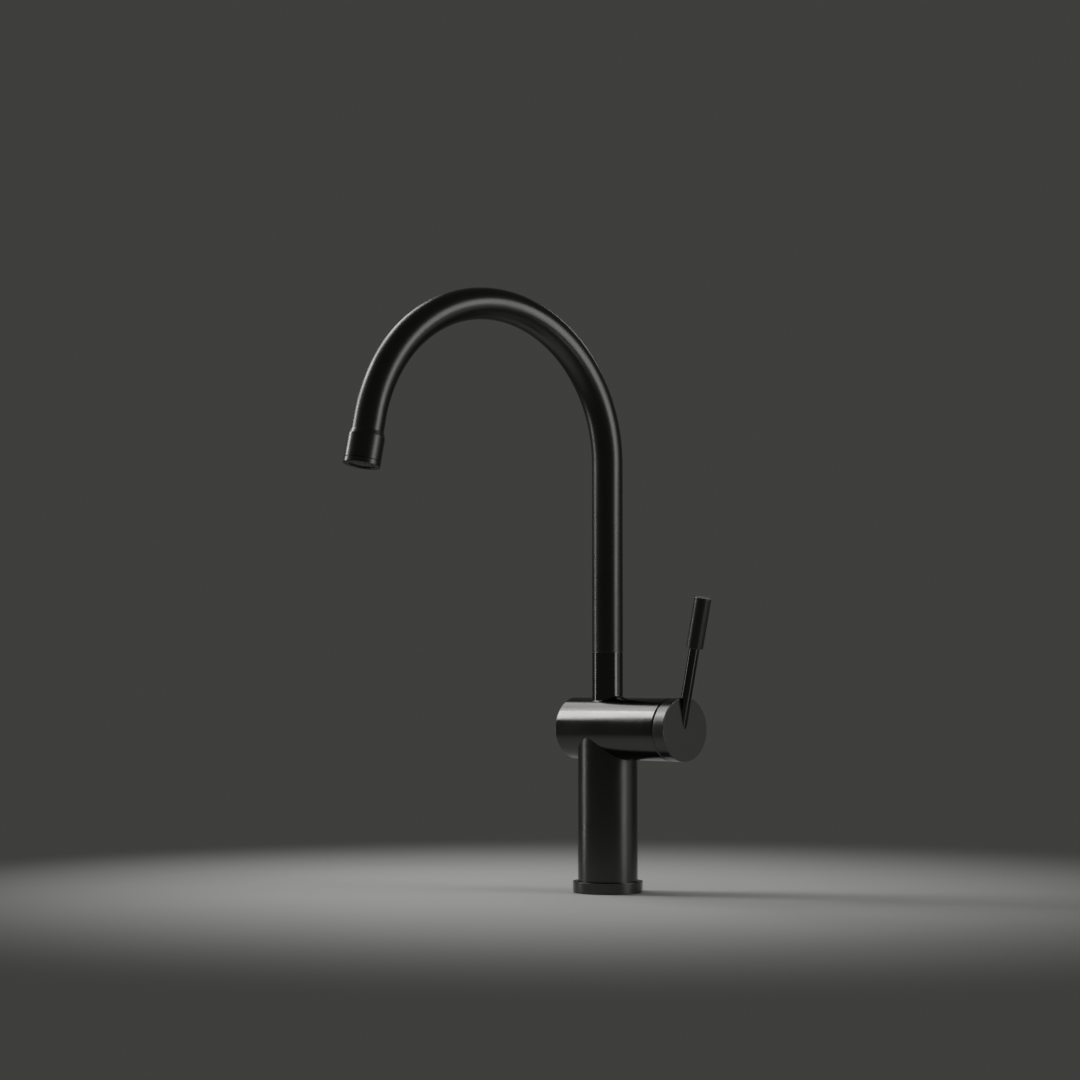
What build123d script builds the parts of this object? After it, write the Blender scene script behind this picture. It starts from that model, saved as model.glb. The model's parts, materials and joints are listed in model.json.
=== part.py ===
from build123d import *
from math import asin, cos, degrees, hypot, radians, sin, sqrt, tan
import os

# Gooseneck kitchen faucet with one side lever. Lengths are in millimetres, angles in degrees.
# The origin is the centre of the base flange's underside, on the column's axis.
# +Z is up, +X runs along the valve housing to the lever, and the spout reaches towards -Y.
# The lever is drawn closed and upright, and the spout is turned by spout_turn from square.

# Fits and edges
fixed_gap = 0.02  # between pieces that are brazed, pressed or screwed together
turn_gap = 0.05  # a shaft in its bore, or faces that slide on each other
free_gap = 0.35  # between pieces that pass each other without touching
edge_break = 0.4  # small chamfer on outer edges

# Valve housing and column
valve_height = 114.6  # the housing's axis above the deck
housing_back = 30.3  # how far the housing reaches behind the column's axis
housing_wall = 3.0  # outside the nut's thread
column_setback = 1.0  # the column's radius is this much under the housing's
column_wall = 2.5
rear_plug_depth = 4.0

# Base flange and its gasket
flange_overhang = 3.65
flange_height = 7.7
flange_ledge_height = 1.5  # the column stands on a ledge inside the flange
flange_ledge_width = 1.5
gasket_width = 1.9
gasket_depth = 1.2

# Base insert, inlets and the pipes above them
insert_lift = 1.0  # the insert's underside above the flange's ledge
inlet_radius = 4.5  # wall of an M10 x 1 hose thread
inlet_depth = 10.0
inlet_web = 2.0  # metal between a hose thread and the pipe above it
inlet_back = 7.0  # the inlets stand this far behind the column's axis
inlet_spread = 7.0  # and this far to each side
pipe_radius = 4.0
pipe_wall = 1.0
pipe_socket = 6.0
pipe_stop = 8.0  # the pipes end this far under the valve's axis

# Under-deck clamp
deck_depth = 30.0  # the deck that the clamp is drawn for
stud_radius = 4.0
stud_offset = 12.0
stud_grip = 12.0  # length of the stud inside the insert
stud_tail = 8.0  # length of the stud past its nut
clamp_radius = 23.0
clamp_gasket_depth = 3.0
clamp_plate_depth = 3.0
clamp_nut_depth = 6.5
clamp_nut_flats = 13.0
hose_slot_half_width = 13.5
hose_slot_back = 9.0  # centre of the slot's round end, behind the column's axis

# Cartridge, stacked along the valve's axis towards the lever
core_reach = 18.0  # front face of the waterway core, ahead of the column's axis
cartridge_radius = 17.5
cartridge_wall = 2.3
cartridge_base_depth = 5.0
fixed_disc_depth = 4.0
moving_disc_depth = 4.0
chamber_depth = 2.0  # mixing chamber in the moving disc
chamber_rim = 2.0
carrier_depth = 4.0
carrier_floor = 1.9  # carrier left behind the stem's ball
tongue_depth = 3.0
tongue_half_width = 4.7
tongue_half_length = 7.0
drive_peg_radius = 1.2
drive_peg_depth = 1.5
drive_peg_spread = 6.0
rotor_flange_depth = 8.0
rotor_nose = 8.0  # the rotor's front end ahead of the stem's pivot
rotor_nose_radius = 12.0
cartridge_lip = 2.0  # cartridge body ahead of the rotor
locating_peg_radius = 1.5
locating_peg_depth = 3.0
locating_peg_circle = 14.0
locating_peg_angle = 40.0
nut_step = 1.5  # the nut's thread radius beyond the cartridge
nut_depth = 4.0
nut_hole_radius = 13.5
nut_notch_width = 5.0
nut_notch_depth = 1.5
nut_to_seam = 4.3

# Water ports
port_radius = 2.5
inlet_port_rise = 3.5  # inlet ports above the valve's axis
outlet_port_drop = 5.5  # outlet port below it
outlet_channel_radius = 3.0
port_land = 0.7  # ceramic between the closed chamber and the inlet ports
port_seal_gap = 0.3
port_seal_width = 1.1
port_seal_depth = 1.2

# Stem and its pivot
stem_half = 3.0  # half the stem's square
stem_arm = 10.0  # from the pivot to the ball's centre
stem_ball_radius = 2.5
stem_neck_radius = 1.6
stem_neck_length = 4.5  # from the ball's centre to the square
stem_web = 0.8  # cap metal between the rod's tail and the stem's end
pivot_radius = 1.5
pivot_cover = 1.0  # the pin's ends lie this far inside the rotor's nose
flow_tilt = 20.0  # the lever's travel from closed to open

# Lever cap
seam_gap = 0.35  # between the housing's domed edge and the cap
cap_web = 1.55  # thinnest wall of the cap's face
hub_radius = 7.0
hub_standoff = 4.2  # the hub's back end ahead of the cartridge
cap_screw_radius = 2.0
cap_screw_sink = 0.3
cap_screw_setback = 3.4  # the screw's point ahead of the hub's back end
cap_screw_slant = 15.0
plug_sink = 0.2

# Lever rod and grip
lever_lean = 13.2  # from upright, outwards
rod_radius = 3.7
rod_setback = 3.9  # the rod's axis behind the cap's face, at the valve's axis
rod_tail = 3.0
rod_rib = 1.5  # cap metal beside the rod
grip_radius = 5.85
grip_start = 57.3  # along the rod, from the valve's axis
grip_length = 35.0
grip_end_wall = 5.0

# Neck and spout swivel
tube_radius = 11.0  # outside of the spout and the neck
tube_wall = 1.2
neck_rise = 31.1  # the neck's top above the housing
neck_wall = 2.0
neck_step = 1.0  # the neck is this much thinner inside the housing
neck_seat = 10.0  # the neck's foot above the valve's axis
thrust_depth = 0.5
thrust_inset = 0.25
spigot_depth = 28.0  # below the spout's foot
spigot_socket = 16.0  # inside the spout tube
spigot_wall = 3.4
swivel_seal_section = 0.9
swivel_seal_margin = 5.0  # from each end of the spigot's bearing
spout_screw_radius = 2.0
spout_screw_tip_radius = 1.5
spout_screw_sink = 0.4
stop_groove_depth = 1.5
spout_swing = 75.0  # to each side of square
spout_turn = -4.2  # where the spout stands now
socket_flats = 2.0  # hexagon socket of both grub screws
socket_depth = 1.2

# Gooseneck and nozzle
spout_rise = 132.9  # straight tube from the spout's foot to the bend
bend_radius = 104.3
bend_angle = 168.5
outlet_run = 33.8  # from the bend to the outlet
nozzle_step = 1.5  # the nozzle's radius beyond the tube's
collar_length = 19.3
flare_length = 3.5
nozzle_seam = 0.3
aerator_lip = 3.4
aerator_thread_inset = 0.6  # the aerator's thread radius under the tube's
aerator_thread_length = 8.0
aerator_wall = 1.1
aerator_ledge = 0.8
aerator_ledge_depth = 1.0
aerator_gasket_depth = 1.6
aerator_gasket_width = 3.3
insert_hole_radius = 1.1
insert_hole_pitch = 3.4
screen_depth = 0.4
screen_hole_radius = 0.6
screen_hole_pitch = 2.0

# Radii, from the cartridge outwards
chamber_radius = cartridge_radius - cartridge_wall
housing_bore = cartridge_radius + turn_gap
nut_radius = cartridge_radius + nut_step
housing_radius = nut_radius + housing_wall
column_radius = housing_radius - column_setback
column_bore = column_radius - column_wall
flange_radius = column_radius + flange_overhang
disc_travel = stem_arm * radians(flow_tilt)
moving_disc_radius = chamber_radius - disc_travel - free_gap
rotor_radius = chamber_radius - turn_gap
port_seal_radius = port_radius + port_seal_gap + port_seal_width

# Places along the valve's axis
housing_rear = -housing_back
core_back = housing_rear + rear_plug_depth
base_front = core_reach + cartridge_base_depth
fixed_disc_front = base_front + fixed_disc_depth
moving_disc_back = fixed_disc_front + turn_gap
carrier_back = moving_disc_back + moving_disc_depth
carrier_front = carrier_back + carrier_depth
tongue_front = carrier_front + tongue_depth
rotor_back = carrier_front + turn_gap
rotor_shoulder = rotor_back + rotor_flange_depth
ball_place = carrier_back + carrier_floor + free_gap + stem_ball_radius
pivot_place = ball_place + stem_arm
stem_back = ball_place + stem_neck_length
rotor_front = pivot_place + rotor_nose
cartridge_front = rotor_front + cartridge_lip
nut_front = cartridge_front + nut_depth
seam_place = nut_front + nut_to_seam
hub_back = cartridge_front + hub_standoff

# The housing's front edge is a zone of a sphere about the stem's pivot, and so is the cap's back,
# so that the seam between them stays a hairline while the cap tilts.
dome_radius = hypot(seam_place - pivot_place, housing_radius)
cap_dome_radius = dome_radius + seam_gap
rim_angle = degrees(asin(nut_radius / dome_radius))
rim_place = pivot_place + dome_radius * cos(radians(rim_angle))
hub_root_radius = dome_radius * sin(radians(rim_angle - flow_tilt)) - free_gap
hub_root_back = rim_place + free_gap
cap_floor = pivot_place + dome_radius * cos(radians(rim_angle - flow_tilt)) + free_gap
cap_face = cap_floor + cap_web
rod_tail_reach = rod_radius * cos(radians(lever_lean)) + rod_tail * sin(radians(lever_lean))
stem_front = cap_face - rod_setback - rod_tail_reach - stem_web

# Heights of the neck and the spout
housing_top = valve_height + housing_radius
neck_bore = tube_radius - neck_wall
neck_foot_radius = tube_radius - neck_step
neck_foot = valve_height + neck_seat
neck_top = housing_top + neck_rise
thrust_foot = neck_top + turn_gap
spout_foot = thrust_foot + thrust_depth
spigot_foot = spout_foot - spigot_depth
spigot_radius = neck_bore - turn_gap
spigot_bore = spigot_radius - spigot_wall
tube_bore = tube_radius - tube_wall
seal_radius = neck_bore - fixed_gap
seal_groove_radius = seal_radius - 2 * swivel_seal_section - fixed_gap
seal_heights = (spigot_foot + swivel_seal_margin, neck_top - swivel_seal_margin)
stop_height = (spigot_foot + neck_top) / 2
stop_groove_radius = spigot_radius - stop_groove_depth
bend_height = spout_foot + spout_rise

# Lengths of the nozzle, from the outlet upwards
collar_foot = aerator_lip + nozzle_seam
collar_top = collar_foot + collar_length
thread_radius = tube_radius - aerator_thread_inset
thread_top = aerator_lip + aerator_thread_length
tube_end = thread_top + aerator_gasket_depth
nozzle_radius = tube_radius + nozzle_step
insert_radius = thread_radius - aerator_wall

# Heights of the base and the clamp
insert_foot = flange_ledge_height + insert_lift
inlet_top = insert_foot + inlet_depth
pipe_foot = inlet_top + inlet_web
insert_top = pipe_foot + pipe_socket
pipe_top = valve_height - pipe_stop
clamp_gasket_foot = -deck_depth - clamp_gasket_depth
clamp_plate_foot = clamp_gasket_foot - clamp_plate_depth
clamp_nut_foot = clamp_plate_foot - clamp_nut_depth
inlet_spots = {"hot": (-inlet_back, inlet_spread), "cold": (-inlet_back, -inlet_spread)}

# Frames: height along a frame's own Z becomes distance along the axis that it stands for
valve_frame = Plane(origin=(0, 0, valve_height), x_dir=(0, 1, 0), z_dir=(1, 0, 0))
bend_end_y = -bend_radius + bend_radius * cos(radians(bend_angle))
bend_end_z = bend_height + bend_radius * sin(radians(bend_angle))
outlet_up = Vector(0, sin(radians(bend_angle)), -cos(radians(bend_angle)))
outlet_point = Vector(0, bend_end_y, bend_end_z) - outlet_up * outlet_run
nozzle_frame = Plane(origin=outlet_point, x_dir=(1, 0, 0), z_dir=outlet_up)
rod_start = (cap_face - rod_setback, 0, valve_height)
rod_along = (sin(radians(lever_lean)), 0, cos(radians(lever_lean)))
rod_frame = Plane(origin=rod_start, x_dir=(0, 1, 0), z_dir=rod_along)
cap_screw_point = (hub_back + cap_screw_setback, 0, valve_height - stem_half)
cap_screw_along = (sin(radians(cap_screw_slant)), 0, -cos(radians(cap_screw_slant)))
cap_screw_frame = Plane(origin=cap_screw_point, x_dir=(0, 1, 0), z_dir=cap_screw_along)
spout_screw_frame = Plane(origin=(0, 0, stop_height), x_dir=(1, 0, 0), z_dir=(0, 1, 0))


def disc(radius, low, high, spot=(0, 0)):
    """Upright cylinder between two heights, centred on a spot."""
    on_floor = (Align.CENTER, Align.CENTER, Align.MIN)
    return Pos(spot[0], spot[1], low) * Cylinder(radius, high - low, align=on_floor)


def ring(outer, inner, low, high, spot=(0, 0)):
    """Upright ring between two heights."""
    return disc(outer, low, high, spot) - disc(inner, low, high, spot)


def block(x_range, y_range, z_range):
    """Box between two places along each axis."""
    size = [high - low for low, high in (x_range, y_range, z_range)]
    on_corner = (Align.MIN, Align.MIN, Align.MIN)
    return Pos(x_range[0], y_range[0], z_range[0]) * Box(*size, align=on_corner)


def turned(outline, arc=360):
    """Solid turned about Z from a closed outline of (radius, height) points."""
    edges = Polyline(*[(radius, 0, height) for radius, height in outline], close=True).edges()
    return revolve(make_face(edges), Axis.Z, revolution_arc=arc)


def hexagon(flats, low, high):
    """Upright hexagonal bar with a given size across its flats."""
    return Pos(0, 0, low) * extrude(RegularPolygon(flats / 2, 6, major_radius=False), high - low)


def honeycomb(reach, pitch):
    """Spots of a hexagonal pattern that lie within reach of the middle."""
    count = int(2 * reach / pitch)
    steps = range(-count, count + 1)
    spots = [(pitch * (i + j / 2), pitch * j * sqrt(3) / 2) for i in steps for j in steps]
    return [spot for spot in spots if hypot(*spot) <= reach]


def along_valve(solid):
    """Lay a piece along the valve: its X becomes Y, its Y becomes Z and its Z becomes X."""
    return valve_frame.location * solid


def with_spout(solid):
    """Turn a piece of the spout from square to where it stands."""
    return Rot(0, 0, spout_turn) * solid


def at_nozzle(solid):
    """Stand a piece in the spout's outlet, with its Z up the tube."""
    return with_spout(nozzle_frame.location * solid)


def cap_dome():
    """Ball that the back of the cap is hollowed by, in the valve's frame."""
    return Pos(0, 0, pivot_place) * Sphere(cap_dome_radius)


def housing_envelope():
    """The housing's outside as a full cylinder, for the saddles that meet it."""
    return along_valve(disc(housing_radius, housing_rear, seam_place))


# Base

def base_flange():
    outline = [
        (column_radius - flange_ledge_width, 0),
        (flange_radius, 0),
        (flange_radius, flange_height - edge_break),
        (flange_radius - edge_break, flange_height),
        (column_radius + fixed_gap, flange_height),
        (column_radius + fixed_gap, flange_ledge_height),
        (column_radius - flange_ledge_width, flange_ledge_height),
    ]
    middle = column_radius + flange_overhang / 2
    half_groove = gasket_width / 2 + fixed_gap
    return turned(outline) - ring(middle + half_groove, middle - half_groove, 0, gasket_depth)


def base_gasket():
    middle = column_radius + flange_overhang / 2
    return ring(middle + gasket_width / 2, middle - gasket_width / 2, 0, gasket_depth)


def column():
    return ring(column_radius, column_bore, flange_ledge_height, valve_height) - housing_envelope()


def base_insert():
    plug = disc(column_bore - fixed_gap, insert_foot, insert_top)
    for spot in inlet_spots.values():
        plug -= disc(inlet_radius, insert_foot, inlet_top, spot)
        plug -= disc(pipe_radius - pipe_wall, inlet_top, pipe_foot, spot)
        plug -= disc(pipe_radius + fixed_gap, pipe_foot, insert_top, spot)
    return plug - disc(stud_radius + fixed_gap, insert_foot, insert_foot + stud_grip, (stud_offset, 0))


def inlet_pipe(spot):
    return ring(pipe_radius, pipe_radius - pipe_wall, pipe_foot, pipe_top, spot)


# Under-deck clamp

def mounting_stud():
    return disc(stud_radius, clamp_nut_foot - stud_tail, insert_foot + stud_grip, (stud_offset, 0))


def horseshoe(low, high):
    """Clamp plate with a slot for the hoses, open at the back, and a hole for the stud."""
    plate = disc(clamp_radius, low, high)
    plate -= disc(hose_slot_half_width, low, high, (-hose_slot_back, 0))
    sides = (-hose_slot_half_width, hose_slot_half_width)
    plate -= block((-clamp_radius - hose_slot_back, -hose_slot_back), sides, (low, high))
    return plate - disc(stud_radius + turn_gap, low, high, (stud_offset, 0))


def clamp_nut():
    nut = hexagon(clamp_nut_flats, clamp_nut_foot, clamp_plate_foot)
    return Pos(stud_offset, 0, 0) * (nut - disc(stud_radius + fixed_gap, clamp_nut_foot, clamp_plate_foot))


# Valve housing

def valve_housing():
    half_way = radians((rim_angle + degrees(asin(housing_radius / dome_radius))) / 2)
    dome_middle = (dome_radius * sin(half_way), 0, pivot_place + dome_radius * cos(half_way))
    rim = (nut_radius, 0, rim_place)
    seam = (housing_radius, 0, seam_place)
    outline = Polyline(
        rim,
        (nut_radius, 0, cartridge_front),
        (housing_bore, 0, cartridge_front),
        (housing_bore, 0, housing_rear),
        (housing_radius - edge_break, 0, housing_rear),
        (housing_radius, 0, housing_rear + edge_break),
        seam,
    )
    dome = ThreePointArc(seam, dome_middle, rim)
    housing = along_valve(revolve(make_face(outline.edges() + dome.edges()), Axis.Z))
    housing -= disc(neck_foot_radius + fixed_gap, valve_height, housing_top)
    for spot in inlet_spots.values():
        housing -= disc(pipe_radius + fixed_gap, valve_height - housing_radius, valve_height, spot)
    return housing


def rear_plug():
    return along_valve(disc(housing_bore - fixed_gap, housing_rear, core_back))


def waterway_core():
    core = along_valve(disc(housing_bore - fixed_gap, core_back, core_reach))
    core -= disc(neck_foot_radius + fixed_gap, neck_foot, housing_top)
    core -= disc(outlet_channel_radius, valve_height - outlet_port_drop, neck_foot)
    core -= along_valve(disc(outlet_channel_radius, 0, core_reach, (0, -outlet_port_drop)))
    for x, y in inlet_spots.values():
        core -= disc(pipe_radius + fixed_gap, valve_height - housing_radius, pipe_top, (x, y))
        core -= disc(port_radius, pipe_top, valve_height + inlet_port_rise, (x, y))
        core -= along_valve(disc(port_radius, x, core_reach, (y, inlet_port_rise)))
    hole_radius = locating_peg_radius + fixed_gap
    hole_foot = core_reach - locating_peg_depth - fixed_gap
    for spot in locating_spots():
        core -= along_valve(disc(hole_radius, hole_foot, core_reach, spot))
    return core


# Cartridge

def port_spots():
    """Inlet ports and outlet port, across the valve's axis."""
    return [(inlet_spread, inlet_port_rise), (-inlet_spread, inlet_port_rise), (0, -outlet_port_drop)]


def locating_spots():
    """Pegs that keep the cartridge from turning."""
    across = locating_peg_circle * cos(radians(locating_peg_angle))
    drop = locating_peg_circle * sin(radians(locating_peg_angle))
    return [(across, -drop), (-across, -drop)]


def drive_spots():
    """Pegs of the carrier that move the ceramic disc."""
    return [(drive_peg_spread, drive_peg_spread), (-drive_peg_spread, drive_peg_spread)]


def cartridge_base():
    base = disc(cartridge_radius, core_reach, base_front)
    for spot in port_spots():
        base -= disc(port_radius, core_reach, base_front, spot)
        base -= disc(port_seal_radius + fixed_gap, core_reach, core_reach + port_seal_depth, spot)
    for spot in locating_spots():
        base += disc(locating_peg_radius, core_reach - locating_peg_depth, core_reach, spot)
    return along_valve(base)


def port_seals():
    inner = port_radius + port_seal_gap
    front = core_reach + port_seal_depth
    seals = [ring(port_seal_radius, inner, core_reach, front, spot) for spot in port_spots()]
    return Compound(children=[along_valve(seal) for seal in seals])


def fixed_disc():
    plate = disc(chamber_radius - fixed_gap, base_front, fixed_disc_front)
    for spot in port_spots():
        plate -= disc(port_radius, base_front, fixed_disc_front, spot)
    return along_valve(plate)


def moving_disc():
    plate = disc(moving_disc_radius, moving_disc_back, carrier_back)
    chamber_top = inlet_port_rise - port_radius - port_land
    chamber = disc(moving_disc_radius - chamber_rim, moving_disc_back, moving_disc_back + chamber_depth)
    across = (-moving_disc_radius, moving_disc_radius)
    chamber &= block(across, (-moving_disc_radius, chamber_top), (moving_disc_back, carrier_back))
    plate -= chamber
    for spot in drive_spots():
        plate -= disc(drive_peg_radius + fixed_gap, carrier_back - drive_peg_depth, carrier_back, spot)
    return along_valve(plate)


def disc_carrier():
    carrier = disc(moving_disc_radius - edge_break, carrier_back, carrier_front)
    width = (-tongue_half_width, tongue_half_width)
    carrier += block(width, (-tongue_half_length, tongue_half_length), (carrier_front, tongue_front))
    pocket = stem_ball_radius + free_gap
    carrier -= block((-pocket, pocket), (-pocket, pocket), (carrier_back + carrier_floor, tongue_front))
    for spot in drive_spots():
        carrier += disc(drive_peg_radius, carrier_back - drive_peg_depth + fixed_gap, carrier_back, spot)
    return along_valve(carrier)


def cartridge_rotor():
    rotor = disc(rotor_radius, rotor_back, rotor_shoulder)
    rotor += disc(rotor_nose_radius, rotor_shoulder, rotor_front)
    groove = tongue_half_width + turn_gap
    across = (-rotor_radius, rotor_radius)
    rotor -= block((-groove, groove), across, (rotor_back, tongue_front + turn_gap))
    slot_width = stem_half + free_gap
    longest = max(rotor_front - pivot_place, pivot_place - stem_back)
    swing = longest * tan(radians(flow_tilt)) + stem_half / cos(radians(flow_tilt)) + free_gap
    rotor -= block((-slot_width, slot_width), (-swing, swing), (rotor_back, rotor_front))
    pin = Pos(0, 0, pivot_place) * Rot(0, 90, 0) * Cylinder(pivot_radius + fixed_gap, 2 * rotor_nose_radius)
    return along_valve(rotor - pin)


def stem_pivot_pin():
    pin = Rot(0, 90, 0) * Cylinder(pivot_radius, 2 * (rotor_nose_radius - pivot_cover))
    return along_valve(Pos(0, 0, pivot_place) * pin)


def cartridge_stem():
    square = (-stem_half, stem_half)
    stem = block(square, square, (stem_back, stem_front))
    stem -= Pos(0, 0, pivot_place) * Rot(0, 90, 0) * Cylinder(pivot_radius + turn_gap, 2 * rotor_radius)
    stem += disc(stem_neck_radius, ball_place, stem_back)
    stem += Pos(0, 0, ball_place) * Sphere(stem_ball_radius)
    return along_valve(stem)


def cartridge_body():
    shoulder = rotor_shoulder + turn_gap
    body = disc(cartridge_radius, base_front, cartridge_front)
    body -= disc(chamber_radius, base_front, shoulder)
    return along_valve(body - disc(rotor_nose_radius + turn_gap, shoulder, cartridge_front))


def cartridge_nut():
    nut = ring(nut_radius - fixed_gap, nut_hole_radius, cartridge_front, nut_front)
    half = nut_notch_width / 2
    across = (-nut_radius, nut_radius)
    depth = (nut_front - nut_notch_depth, nut_front)
    nut -= block(across, (-half, half), depth)
    return along_valve(nut - block((-half, half), across, depth))


# Lever

def lever_cap():
    outline = [
        (0, seam_place),
        (housing_radius, seam_place),
        (housing_radius, cap_face - edge_break),
        (housing_radius - edge_break, cap_face),
        (0, cap_face),
    ]
    cap = turned(outline) - cap_dome()
    cap += disc(hub_root_radius + cap_web, cap_floor, cap_face)
    cap += disc(hub_root_radius, hub_root_back, cap_face)
    cap += disc(hub_radius, hub_back, cap_face)
    rib = rod_radius + rod_rib
    rib_top = sqrt((nut_radius - free_gap) ** 2 - rib**2)
    cap += block((-rib, rib), (0, rib_top), (hub_root_back, cap_face))
    socket = (-stem_half - fixed_gap, stem_half + fixed_gap)
    cap -= block(socket, socket, (hub_back, stem_front + fixed_gap))
    cap = along_valve(cap)
    cap -= cap_screw_frame.location * disc(cap_screw_radius + fixed_gap, 0, 2 * housing_radius)
    return cap - rod_frame.location * disc(rod_radius + fixed_gap, -rod_tail - fixed_gap, grip_start)


def cap_screw():
    length = (hub_radius - stem_half) / cos(radians(cap_screw_slant)) - cap_screw_sink
    screw = disc(cap_screw_radius, fixed_gap, length)
    tip_trim = block((-stem_half, stem_half), (-stem_half, stem_half), (hub_back, stem_front))
    screw -= hexagon(socket_flats, length - socket_depth, length)
    return cap_screw_frame.location * screw - along_valve(tip_trim)


def grub_plug():
    plug = cap_screw_frame.location * disc(cap_screw_radius, hub_radius, 2 * housing_radius)
    outside = disc(housing_radius - plug_sink, seam_place, cap_face) - cap_dome()
    return plug & along_valve(outside)


def lever_rod():
    return rod_frame.location * disc(rod_radius, -rod_tail, grip_start + grip_length - grip_end_wall)


def lever_grip():
    top = grip_start + grip_length
    outline = [
        (0, grip_start),
        (grip_radius - edge_break, grip_start),
        (grip_radius, grip_start + edge_break),
        (grip_radius, top - edge_break),
        (grip_radius - edge_break, top),
        (0, top),
    ]
    grip = turned(outline) - disc(rod_radius + fixed_gap, grip_start, top - grip_end_wall + fixed_gap)
    return rod_frame.location * grip


# Neck and swivel

def neck_sleeve():
    sleeve = disc(tube_radius, valve_height, neck_top) - housing_envelope()
    sleeve += disc(neck_foot_radius, neck_foot, neck_top)
    sleeve -= disc(neck_bore, neck_foot, neck_top)
    return sleeve - spout_screw_frame.location * disc(spout_screw_radius + fixed_gap, 0, tube_radius)


def spout_screw():
    head = tube_radius - spout_screw_sink
    screw = disc(spout_screw_radius, neck_bore + turn_gap, head)
    screw += disc(spout_screw_tip_radius, stop_groove_radius + free_gap, neck_bore + turn_gap)
    return spout_screw_frame.location * (screw - hexagon(socket_flats, head - socket_depth, head))


def swivel_spigot():
    spigot = disc(spigot_radius, spigot_foot, spout_foot)
    spigot += disc(tube_bore - fixed_gap, spout_foot, spout_foot + spigot_socket)
    spigot -= disc(spigot_bore, spigot_foot, spout_foot + spigot_socket)
    half_seal = swivel_seal_section + fixed_gap
    for height in seal_heights:
        spigot -= ring(tube_radius, seal_groove_radius, height - half_seal, height + half_seal)
    tip_room = spout_screw_tip_radius + free_gap
    sweep = spout_swing + degrees(asin(tip_room / stop_groove_radius))
    groove_outline = [
        (stop_groove_radius, stop_height - tip_room),
        (tube_radius, stop_height - tip_room),
        (tube_radius, stop_height + tip_room),
        (stop_groove_radius, stop_height + tip_room),
    ]
    return with_spout(spigot - Rot(0, 0, 90 - sweep) * turned(groove_outline, 2 * sweep))


def swivel_seal(height):
    return Pos(0, 0, height) * Torus(seal_radius - swivel_seal_section, swivel_seal_section)


def thrust_ring():
    return ring(tube_radius - thrust_inset, neck_bore + thrust_inset, thrust_foot, spout_foot)


# Gooseneck and nozzle

def spout_tube():
    rise = ring(tube_radius, tube_bore, spout_foot, bend_height)
    section = Pos(0, 0, bend_height) * (Circle(tube_radius) - Circle(tube_bore))
    hinge = Axis((0, -bend_radius, bend_height), (1, 0, 0))
    bend = revolve(section, hinge, revolution_arc=bend_angle)
    run = nozzle_frame.location * ring(tube_radius, tube_bore, tube_end, outlet_run)
    return with_spout(rise + bend + run)


def nozzle_collar():
    outline = [
        (thread_radius, collar_foot),
        (nozzle_radius, collar_foot),
        (nozzle_radius, collar_top - flare_length),
        (tube_radius + edge_break, collar_top),
        (tube_radius + fixed_gap, collar_top),
        (tube_radius + fixed_gap, tube_end),
        (thread_radius, tube_end),
    ]
    return at_nozzle(turned(outline))


def aerator_ring():
    outline = [
        (insert_radius - aerator_ledge, 0),
        (nozzle_radius - edge_break, 0),
        (nozzle_radius, edge_break),
        (nozzle_radius, aerator_lip),
        (thread_radius - fixed_gap, aerator_lip),
        (thread_radius - fixed_gap, thread_top),
        (insert_radius, thread_top),
        (insert_radius, aerator_ledge_depth),
        (insert_radius - aerator_ledge, aerator_ledge_depth),
    ]
    return at_nozzle(turned(outline))


def perforated(low, high, hole_radius, pitch):
    """Round plate in the aerator with a honeycomb of holes."""
    radius = insert_radius - fixed_gap
    reach = radius - aerator_ledge - hole_radius
    holes = [disc(hole_radius, low, high, spot) for spot in honeycomb(reach, pitch)]
    return at_nozzle(disc(radius, low, high) - holes)


def aerator_gasket():
    outer = thread_radius - fixed_gap
    return at_nozzle(ring(outer, outer - aerator_gasket_width, thread_top, tube_end))


pieces = {
    "base_flange": base_flange(),
    "base_gasket": base_gasket(),
    "column": column(),
    "base_insert": base_insert(),
    "hot_inlet_pipe": inlet_pipe(inlet_spots["hot"]),
    "cold_inlet_pipe": inlet_pipe(inlet_spots["cold"]),
    "mounting_stud": mounting_stud(),
    "clamp_gasket": horseshoe(clamp_gasket_foot, -deck_depth),
    "clamp_plate": horseshoe(clamp_plate_foot, clamp_gasket_foot),
    "clamp_nut": clamp_nut(),
    "valve_housing": valve_housing(),
    "rear_plug": rear_plug(),
    "waterway_core": waterway_core(),
    "cartridge_base": cartridge_base(),
    "port_seals": port_seals(),
    "fixed_disc": fixed_disc(),
    "moving_disc": moving_disc(),
    "disc_carrier": disc_carrier(),
    "cartridge_rotor": cartridge_rotor(),
    "stem_pivot_pin": stem_pivot_pin(),
    "cartridge_stem": cartridge_stem(),
    "cartridge_body": cartridge_body(),
    "cartridge_nut": cartridge_nut(),
    "lever_cap": lever_cap(),
    "cap_grub_screw": cap_screw(),
    "grub_plug": grub_plug(),
    "lever_rod": lever_rod(),
    "lever_grip": lever_grip(),
    "neck_sleeve": neck_sleeve(),
    "spout_grub_screw": spout_screw(),
    "swivel_spigot": swivel_spigot(),
    "swivel_seal_lower": swivel_seal(seal_heights[0]),
    "swivel_seal_upper": swivel_seal(seal_heights[1]),
    "thrust_ring": thrust_ring(),
    "spout_tube": spout_tube(),
    "nozzle_collar": nozzle_collar(),
    "aerator_ring": aerator_ring(),
    "aerator_insert": perforated(
        aerator_ledge_depth, thread_top - screen_depth, insert_hole_radius, insert_hole_pitch
    ),
    "aerator_screen": perforated(
        thread_top - screen_depth, thread_top, screen_hole_radius, screen_hole_pitch
    ),
    "aerator_gasket": aerator_gasket(),
}

os.makedirs("parts", exist_ok=True)
for name, piece in pieces.items():
    export_step(piece, f"parts/{name}.step")

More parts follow.
